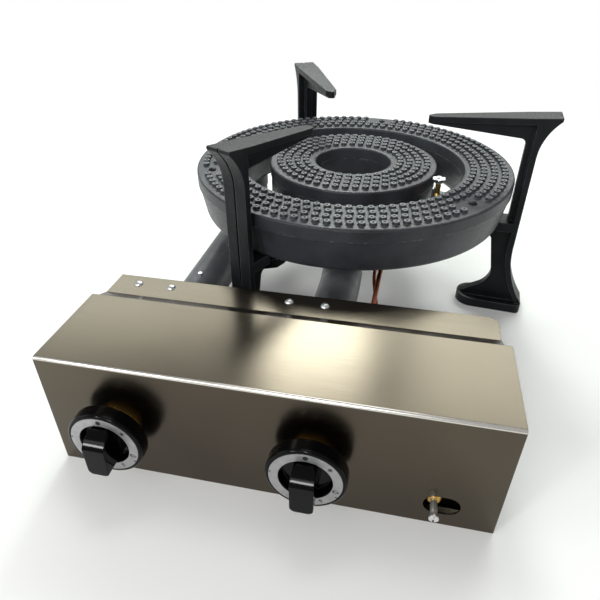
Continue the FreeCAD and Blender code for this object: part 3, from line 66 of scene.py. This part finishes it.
def add(tree, kind, inputs=(), **settings):
    """One shader node with its settings; each input is a plain value or the socket that feeds it."""
    node = tree.nodes.new(kind)
    for name, value in settings.items():
        setattr(node, name, value)
    for name, value in dict(inputs).items():
        if isinstance(value, bpy.types.NodeSocket):
            tree.links.new(value, node.inputs[name])
        else:
            node.inputs[name].default_value = value
    return node


def new_finish(name, sockets):
    """A node material with one Principled shader, and what later nodes need of it."""
    material = bpy.data.materials.new(name)
    material.use_nodes = True
    tree = material.node_tree
    shader = tree.nodes["Principled BSDF"]
    for socket, value in sockets.items():
        shader.inputs[socket].default_value = value
    place = add(tree, "ShaderNodeTexCoord").outputs["Object"]
    return material, tree, shader, place


# Finishes
def cast_iron(name, dark, light, sheen, seam=None, stud_top=None):
    """Sand-cast iron under a thin coat: a fine grain, soft blotches, and a coat rubbed thin on edges, where
    the lighter edge colour is also a painted edge highlight.
    On a ring the coat is also chipped along its seam, and the stud tops are painted lighter as a painted
    highlight."""
    edge_wear_and_highlight_iron = srgb("#6a6d70")
    chip_and_highlight_iron = srgb("#7c7f82")
    chip_and_highlight_share = 0.6
    seam_half = 0.9 * MM
    stud_skin = 0.5 * MM
    material, tree, shader, place = new_finish(name, {"Metallic": 0.0, "Specular IOR Level": sheen})
    blotch = add(tree, "ShaderNodeTexNoise", {"Vector": place, "Scale": per_mm(38), "Detail": 5.0})
    grain = add(tree, "ShaderNodeTexNoise", {"Vector": place, "Scale": per_mm(1.7), "Detail": 4.0})
    skin = add(tree, "ShaderNodeTexNoise", {"Vector": place, "Scale": per_mm(9), "Detail": 3.0})
    paint = add(tree, "ShaderNodeValToRGB", {"Fac": blotch.outputs["Fac"]})
    paint.color_ramp.elements[0].position = 0.3
    paint.color_ramp.elements[0].color = srgb(dark)
    paint.color_ramp.elements[1].position = 0.75
    paint.color_ramp.elements[1].color = srgb(light)
    edge_round = add(tree, "ShaderNodeBevel", {"Radius": 1.6 * MM}, samples=6)
    face = add(tree, "ShaderNodeNewGeometry")
    edge = add(tree, "ShaderNodeVectorMath", {0: edge_round.outputs["Normal"], 1: face.outputs["Normal"]},
               operation="DOT_PRODUCT")
    # edges painted lighter: worn coat, and also a painted edge highlight
    edge_wear_and_highlight = add(tree, "ShaderNodeMapRange", {
        "Value": edge.outputs["Value"], "From Min": 0.97, "From Max": 0.80, "To Min": 0.0, "To Max": 1.0})
    patchy = add(tree, "ShaderNodeMath", {0: edge_wear_and_highlight.outputs["Result"], 1: skin.outputs["Fac"]},
                 operation="MULTIPLY")
    coat = add(tree, "ShaderNodeMix", {
        "Factor": patchy.outputs["Value"], "A": paint.outputs["Color"], "B": edge_wear_and_highlight_iron}, data_type="RGBA")
    if seam:
        height = add(tree, "ShaderNodeSeparateXYZ", {"Vector": place}).outputs["Z"]
        flakes = add(tree, "ShaderNodeTexNoise", {"Vector": place, "Scale": per_mm(6), "Detail": 6.0})
        chipped = add(tree, "ShaderNodeMapRange", {
            "Value": flakes.outputs["Fac"], "From Min": 0.5, "From Max": 0.62})
        at_seam = add(tree, "ShaderNodeMath", {0: height, 1: seam, 2: seam_half}, operation="COMPARE")
        # stud tops painted lighter than the coat: painted highlight; the seam chips are real wear
        stud_top_highlight = add(tree, "ShaderNodeMath", {0: height, 1: stud_top - stud_skin}, operation="GREATER_THAN")
        chips = add(tree, "ShaderNodeMath", {0: at_seam.outputs["Value"], 1: chipped.outputs["Result"]},
                    operation="MULTIPLY")
        chips_and_stud_highlight = add(tree, "ShaderNodeMath", {0: stud_top_highlight.outputs["Value"], 1: chips.outputs["Value"]},
                   operation="MAXIMUM")
        share = add(tree, "ShaderNodeMath", {0: chips_and_stud_highlight.outputs["Value"], 1: chip_and_highlight_share}, operation="MULTIPLY")
        coat = add(tree, "ShaderNodeMix", {
            "Factor": share.outputs["Value"], "A": coat.outputs[2], "B": chip_and_highlight_iron}, data_type="RGBA")
    tree.links.new(coat.outputs[2], shader.inputs["Base Color"])
    gloss = add(tree, "ShaderNodeMapRange", {
        "Value": grain.outputs["Fac"], "From Min": 0.3, "From Max": 0.7, "To Min": 0.28, "To Max": 0.54})
    tree.links.new(gloss.outputs["Result"], shader.inputs["Roughness"])
    swell = add(tree, "ShaderNodeBump", {
        "Height": skin.outputs["Fac"], "Strength": 0.35, "Distance": 0.8 * MM,
        "Normal": edge_round.outputs["Normal"]})
    sand = add(tree, "ShaderNodeBump", {
        "Height": grain.outputs["Fac"], "Strength": 0.55, "Distance": 0.4 * MM,
        "Normal": swell.outputs["Normal"]})
    tree.links.new(sand.outputs["Normal"], shader.inputs["Normal"])
    return material


def stainless_brushed():
    """Stainless sheet with brush lines along its length: long fine lines that smear what it mirrors, and a
    bright front fold that is a painted highlight along the bend."""
    along_sheet = (0.012, 1.0, 1.0)
    fold_way = (0.0, -0.707, 0.707)
    fold_highlight_steel = srgb("#e6e2da")
    material, tree, shader, place = new_finish("stainless_brushed", {"Metallic": 1.0, "Anisotropic": 0.3})
    stretch = add(tree, "ShaderNodeMapping", {"Vector": place, "Scale": along_sheet})
    lines = add(tree, "ShaderNodeTexNoise", {
        "Vector": stretch.outputs["Vector"], "Scale": per_mm(0.6), "Detail": 2.0})
    cloud = add(tree, "ShaderNodeTexNoise", {"Vector": place, "Scale": per_mm(140), "Detail": 2.0})
    tone = add(tree, "ShaderNodeValToRGB", {"Fac": cloud.outputs["Fac"]})
    tone.color_ramp.elements[0].position = 0.3
    tone.color_ramp.elements[0].color = srgb("#534c43")
    tone.color_ramp.elements[1].position = 0.7
    tone.color_ramp.elements[1].color = srgb("#5d564b")
    # the front fold, facing up and forward, is painted near white: painted highlight
    way = add(tree, "ShaderNodeNewGeometry").outputs["Normal"]
    up_and_front = add(tree, "ShaderNodeVectorMath", {0: way, 1: fold_way}, operation="DOT_PRODUCT")
    fold_highlight = add(tree, "ShaderNodeMapRange", {
        "Value": up_and_front.outputs["Value"], "From Min": 0.76, "From Max": 0.88})
    steel = add(tree, "ShaderNodeMix", {
        "Factor": fold_highlight.outputs["Result"], "A": tone.outputs["Color"], "B": fold_highlight_steel},
        data_type="RGBA")
    tree.links.new(steel.outputs[2], shader.inputs["Base Color"])
    gloss = add(tree, "ShaderNodeMapRange", {
        "Value": lines.outputs["Fac"], "From Min": 0.3, "From Max": 0.7, "To Min": 0.21, "To Max": 0.26})
    tree.links.new(gloss.outputs["Result"], shader.inputs["Roughness"])
    across = add(tree, "ShaderNodeTangent", direction_type="RADIAL", axis="X")
    tree.links.new(across.outputs["Tangent"], shader.inputs["Tangent"])
    fold = add(tree, "ShaderNodeBevel", {"Radius": 0.5 * MM}, samples=4)
    brush = add(tree, "ShaderNodeBump", {
        "Height": lines.outputs["Fac"], "Strength": 0.03, "Distance": 0.05 * MM,
        "Normal": fold.outputs["Normal"]})
    tree.links.new(brush.outputs["Normal"], shader.inputs["Normal"])
    return material


def phenolic_gloss():
    """Moulded black phenolic: a deep gloss that is a little rippled by the tool."""
    material, tree, shader, place = new_finish("phenolic_gloss", {
        "Roughness": 0.1, "Specular IOR Level": 0.12, "Base Color": srgb("#050506")})
    ripple = add(tree, "ShaderNodeTexNoise", {"Vector": place, "Scale": per_mm(11), "Detail": 2.0})
    edge = add(tree, "ShaderNodeBevel", {"Radius": 1.2 * MM}, samples=6)
    wave = add(tree, "ShaderNodeBump", {
        "Height": ripple.outputs["Fac"], "Strength": 0.06, "Distance": 0.5 * MM,
        "Normal": edge.outputs["Normal"]})
    tree.links.new(wave.outputs["Normal"], shader.inputs["Normal"])
    return material


def plain_metal(name, dark, light, blotch_mm, smooth, rough):
    """A bare metal whose colour and gloss wander a little over its surface."""
    material, tree, shader, place = new_finish(name, {"Metallic": 1.0})
    cloud = add(tree, "ShaderNodeTexNoise", {"Vector": place, "Scale": per_mm(blotch_mm), "Detail": 4.0})
    tone = add(tree, "ShaderNodeValToRGB", {"Fac": cloud.outputs["Fac"]})
    tone.color_ramp.elements[0].position = 0.3
    tone.color_ramp.elements[0].color = srgb(dark)
    tone.color_ramp.elements[1].position = 0.7
    tone.color_ramp.elements[1].color = srgb(light)
    tree.links.new(tone.outputs["Color"], shader.inputs["Base Color"])
    gloss = add(tree, "ShaderNodeMapRange", {
        "Value": cloud.outputs["Fac"], "To Min": smooth, "To Max": rough})
    tree.links.new(gloss.outputs["Result"], shader.inputs["Roughness"])
    edge = add(tree, "ShaderNodeBevel", {"Radius": 0.5 * MM}, samples=4)
    tree.links.new(edge.outputs["Normal"], shader.inputs["Normal"])
    return material


FINISHES = {
    # fresh matt heat paint: almost black, with grey edges
    "cast_iron": cast_iron("cast_iron_stove_paint", "#101113", "#1d1f22", 0.16),
    "stainless": stainless_brushed(),
    "knob_plastic": phenolic_gloss(),
    # satin anodised aluminium: an even pale grey with a soft sheen
    "dial_aluminium": plain_metal("aluminium_satin", "#a2a2a3", "#b4b4b5", 6, 0.38, 0.5),
    # turned brass: warm yellow, bright
    "brass": plain_metal("brass_turned", "#d7a650", "#efc873", 7, 0.26, 0.4),
    # drawn copper tube that has dulled a little: red brown patches
    "copper": plain_metal("copper_drawn", "#8f4a33", "#c07c5c", 14, 0.24, 0.42),
    # zinc-plated steel: bright and slightly blue
    "bright_steel": plain_metal("zinc_plated_steel", "#c4c6c9", "#e2e3e4", 5, 0.2, 0.36),
    # blackened steel: dark, dull
    "black_steel": plain_metal("blackened_steel", "#242527", "#333537", 8, 0.38, 0.55),
    # hot-rolled mild steel: mid grey scale
    "grey_steel": plain_metal("mild_steel_mill_scale", "#57595a", "#6f7172", 16, 0.4, 0.58),
}
# the same stove paint in a lighter grey than the legs, as painted light that makes up for the shade on the
# ring sides; chipped at the seam
LIGHTENED_RING_IRON = cast_iron("cast_iron_stove_paint_chipped", "#28292c", "#3e4246", 0.32,
                      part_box("outer_ring_trough")[1][2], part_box("outer_ring_cap")[1][2])
# bare sand-cast skin of the tubes: a dusty mid grey
TUBE_IRON = cast_iron("cast_iron_sand_skin", "#404245", "#606366", 0.4)
# turned spindle with a satin plating, painted paler than the zinc-plated steel as a painted highlight,
# without a clear mirror image
HIGHLIGHT_SATIN_STEEL = plain_metal("zinc_plated_steel_satin", "#e6e7e8", "#f4f4f4", 3, 0.42, 0.55)
# black screen-printed ink: a thin dull film
PRINTED_INK = new_finish("printed_ink", {"Roughness": 0.5, "Base Color": srgb("#101010")})[0]

OWN_FINISH = {"pilot_spindle": HIGHLIGHT_SATIN_STEEL}
for ring in ("outer", "inner"):
    OWN_FINISH[ring + "_ring_cap"] = LIGHTENED_RING_IRON
    OWN_FINISH[ring + "_ring_trough"] = LIGHTENED_RING_IRON
    OWN_FINISH[ring + "_mixing_tube"] = TUBE_IRON
for node, thing in frame["nodes"].items():
    thing.data.materials.clear()
    thing.data.materials.append(OWN_FINISH.get(node, FINISHES[NODE_SLOT[node]]))


# Pieces over the frame
def show(name, bm, body, finish):
    """A finished mesh as a piece of the burner, smooth except at real edges."""
    crease = math.radians(35)
    mesh = bpy.data.meshes.new(name)
    bmesh.ops.recalc_face_normals(bm, faces=bm.faces)
    bm.to_mesh(mesh)
    bm.free()
    mesh.materials.append(finish)
    mesh.shade_smooth()
    mesh.set_sharp_from_angle(angle=crease)
    thing = bpy.data.objects.new(name, mesh)
    bpy.context.collection.objects.link(thing)
    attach(thing, body)
    return thing


def eased(node, radius, segments):
    """A node's own form with its sharp edges rounded, shown in the node's place."""
    same_point = 0.005 * MM
    flat = math.radians(0.4)
    sharp = math.radians(32)
    bm = bmesh.new()
    bm.from_mesh(frame["nodes"][node].data)
    bmesh.ops.remove_doubles(bm, verts=bm.verts, dist=same_point)
    bmesh.ops.dissolve_limit(bm, angle_limit=flat, verts=bm.verts, edges=bm.edges)
    corners = [edge for edge in bm.edges if edge.is_manifold and edge.calc_face_angle() > sharp]
    bmesh.ops.bevel(bm, geom=corners, offset=radius, offset_type="OFFSET", segments=segments, profile=0.5,
                    affect="EDGES", clamp_overlap=True)
    slot = NODE_SLOT[node]
    thing = show(node + "_form", bm, NODE_BODY[node], FINISHES[slot])
    weigh = thing.modifiers.new("even_faces", "WEIGHTED_NORMAL")
    weigh.keep_sharp = True
    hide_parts(node)


for leg in ("leg_right", "leg_back", "leg_front_left"):
    eased(leg, 1.2 * MM, 2)
for knob in ("outer_knob", "inner_knob"):
    eased(knob, 2.2 * MM, 4)


# Printed marks of the dials
def around(count, reach):
    """Points of a closed loop; reach gives the radius at each point's number."""
    turns = [2 * math.pi * index / count for index in range(count)]
    return [(reach(index) * math.sin(turn), reach(index) * math.cos(turn))
            for index, turn in enumerate(turns)]


def flame(tall, count=20):
    """A drop with its point upwards."""
    turns = [2 * math.pi * index / count for index in range(count)]
    return [(0.42 * tall * math.sin(turn) * math.sin(turn / 2) ** 1.4, 0.5 * tall * math.cos(turn))
            for turn in turns]


def stamp(bm, loop, inner, spin, ring_radius, centre, face, lift):
    """Prints one closed shape on the dial, solid or hollow, at a clock angle in degrees."""
    turn = math.radians(spin)
    loops = []
    for points in [loop] + ([inner] if inner else []):
        for level in (face, face - lift):
            row = []
            for x, y in points:
                y += ring_radius
                row.append(bm.verts.new((centre[0] + x * math.cos(turn) + y * math.sin(turn), level,
                                         centre[1] - x * math.sin(turn) + y * math.cos(turn))))
            loops.append(row)
    if inner:
        pairs = [(loops[0], loops[1]), (loops[2], loops[3]), (loops[0], loops[2]), (loops[1], loops[3])]
    else:
        bm.faces.new(loops[0])
        bm.faces.new(loops[1])
        pairs = [(loops[0], loops[1])]
    for first, second in pairs:
        for index in range(len(first)):
            after = (index + 1) % len(first)
            bm.faces.new((first[index], first[after], second[after], second[index]))


def dial_marks(ring):
    """Off dot, spark star, large flame and small flame in their clock places, with two rim ticks."""
    off, spark, large, small = 0, 48, 108, 150
    rim_ticks = (120, 278)
    print_inset, rim_inset = 4 * MM, 0.9 * MM
    sunk, lift = 0.02 * MM, 0.08 * MM
    dot_radius, star_tip, star_notch = 2.2 * MM, 2.8 * MM, 1.1 * MM
    tick_side, tick_foot, tick_top = 0.7 * MM, -0.9 * MM, 0.8 * MM
    low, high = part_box(ring + "_dial_ring")
    centre = ((low[0] + high[0]) / 2, (low[2] + high[2]) / 2)
    print_radius = (high[0] - low[0]) / 2 - print_inset
    rim_radius = (high[0] - low[0]) / 2 - rim_inset
    face = low[1] + sunk
    bm = bmesh.new()
    dot = around(20, lambda index: dot_radius)
    star = around(16, lambda index: star_tip if index % 2 == 0 else star_notch)
    tick = [(-tick_side, tick_foot), (tick_side, tick_foot), (tick_side, tick_top), (-tick_side, tick_top)]
    stamp(bm, dot, None, off, print_radius, centre, face, lift)
    stamp(bm, star, None, spark, print_radius, centre, face, lift)
    stamp(bm, flame(6.2 * MM), flame(3.6 * MM), large, print_radius, centre, face, lift)
    stamp(bm, flame(4.4 * MM), flame(2.2 * MM), small, print_radius, centre, face, lift)
    for spin in rim_ticks:
        stamp(bm, tick, None, spin, rim_radius, centre, face, lift)
    show(ring + "_dial_marks", bm, ring + "_knob", PRINTED_INK)


dial_marks("outer")
dial_marks("inner")


# Stage, in metres
def floor():
    """A wide pale floor that keeps the shadow near the burner and fades to white further out."""
    reach = 12.0
    fade_from, fade_to = 0.45, 1.3
    material, tree, shader, _ = new_finish("studio_floor", {
        "Roughness": 0.7, "Base Color": srgb("#f1f1ef")})
    spot = add(tree, "ShaderNodeNewGeometry").outputs["Position"]
    away = add(tree, "ShaderNodeVectorMath", {0: spot}, operation="LENGTH")
    far = add(tree, "ShaderNodeMapRange", {
        "Value": away.outputs["Value"], "From Min": fade_from, "From Max": fade_to},
        interpolation_type="SMOOTHSTEP")
    path = add(tree, "ShaderNodeLightPath").outputs
    seen = path["Is Camera Ray"]
    for other in ("Is Glossy Ray", "Is Transmission Ray"):
        seen = add(tree, "ShaderNodeMath", {0: seen, 1: path[other]}, operation="MAXIMUM").outputs["Value"]
    white = add(tree, "ShaderNodeMath", {0: far.outputs["Result"], 1: seen}, operation="MULTIPLY")
    backdrop = add(tree, "ShaderNodeEmission", {"Color": srgb("#ffffff"), "Strength": 1.0})
    blend = add(tree, "ShaderNodeMixShader", {
        0: white.outputs["Value"], 1: shader.outputs["BSDF"], 2: backdrop.outputs["Emission"]})
    tree.links.new(blend.outputs["Shader"], tree.nodes["Material Output"].inputs["Surface"])
    mesh = bpy.data.meshes.new("studio_floor")
    corners = [(-reach, -reach, 0), (reach, -reach, 0), (reach, reach, 0), (-reach, reach, 0)]
    mesh.from_pydata(corners, [], [(0, 1, 2, 3)])
    mesh.materials.append(material)
    thing = bpy.data.objects.new("studio_floor", mesh)
    bpy.context.collection.objects.link(thing)


def softbox(name, place, target, width, height, watts, tint=(1.0, 1.0, 1.0)):
    """A soft rectangular lamp aimed at a point."""
    lamp = bpy.data.lights.new(name, "AREA")
    lamp.shape = "RECTANGLE"
    lamp.color = tint
    lamp.size = width
    lamp.size_y = height
    lamp.energy = watts
    thing = bpy.data.objects.new(name, lamp)
    thing.location = place
    aim = Vector(target) - Vector(place)
    thing.rotation_euler = aim.to_track_quat("-Z", "Y").to_euler()
    bpy.context.collection.objects.link(thing)


def studio():
    """Pale room light, a bank of lamps behind that the box's top mirrors, and small lamps for the grips."""
    world = bpy.data.worlds.new("studio")
    bpy.context.scene.world = world
    world.use_nodes = True
    background = world.node_tree.nodes["Background"]
    background.inputs["Color"].default_value = srgb("#f4f5f6")
    background.inputs["Strength"].default_value = 0.45
    daylight = (0.94, 1.0, 0.95)
    box_top, ring_front, burner = (0, -0.2, 0.1), (0, -0.1, 0.1), (0, 0, 0.1)
    outer_grip, inner_grip = (-0.16, -0.32, 0.07), (0.01, -0.32, 0.07)
    softbox("back_low", (-0.4, 1.7, 1.3), box_top, 3.2, 0.5, 22, daylight)
    softbox("back_high_left", (-1.5, 1.6, 1.85), box_top, 1.3, 0.5, 2, daylight)
    softbox("back_high_right", (0.75, 1.6, 1.75), box_top, 1.2, 0.7, 14, daylight)
    softbox("back_window", (-0.3, 1.5, 1.5), box_top, 0.52, 0.5, 15, daylight)
    softbox("overhead", (-0.2, 0.5, 2.1), ring_front, 0.9, 0.5, 6)
    softbox("front_key", (-0.5, -1.45, 1.3), burner, 1.5, 0.3, 5)
    softbox("knob_spark_left", (-0.86, -1.35, 0.89), outer_grip, 0.2, 0.16, 5)
    softbox("knob_spark_right", (-0.17, -1.48, 1.0), inner_grip, 0.2, 0.16, 5)
    softbox("left_fill", (-1.9, -0.7, 0.8), burner, 1.2, 1.0, 5)


def camera():
    """The photograph's view, set from the axis of the rings."""
    right_of_axis, front_of_axis, above_floor = 0.07171, 0.673895, 0.4209
    tilt, turn = math.radians(55.6), math.radians(11.9)
    low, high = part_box("outer_ring_cap")
    lens = bpy.data.cameras.new("photo_camera")
    lens.lens = 32.03
    lens.sensor_width = 36.0
    thing = bpy.data.objects.new("photo_camera", lens)
    thing.location = ((low[0] + high[0]) / 2 + right_of_axis, (low[1] + high[1]) / 2 - front_of_axis,
                      above_floor)
    thing.rotation_euler = (tilt, 0.0, turn)
    bpy.context.collection.objects.link(thing)
    bpy.context.scene.camera = thing


floor()
studio()
camera()
bpy.context.scene.view_settings.view_transform = "Standard"
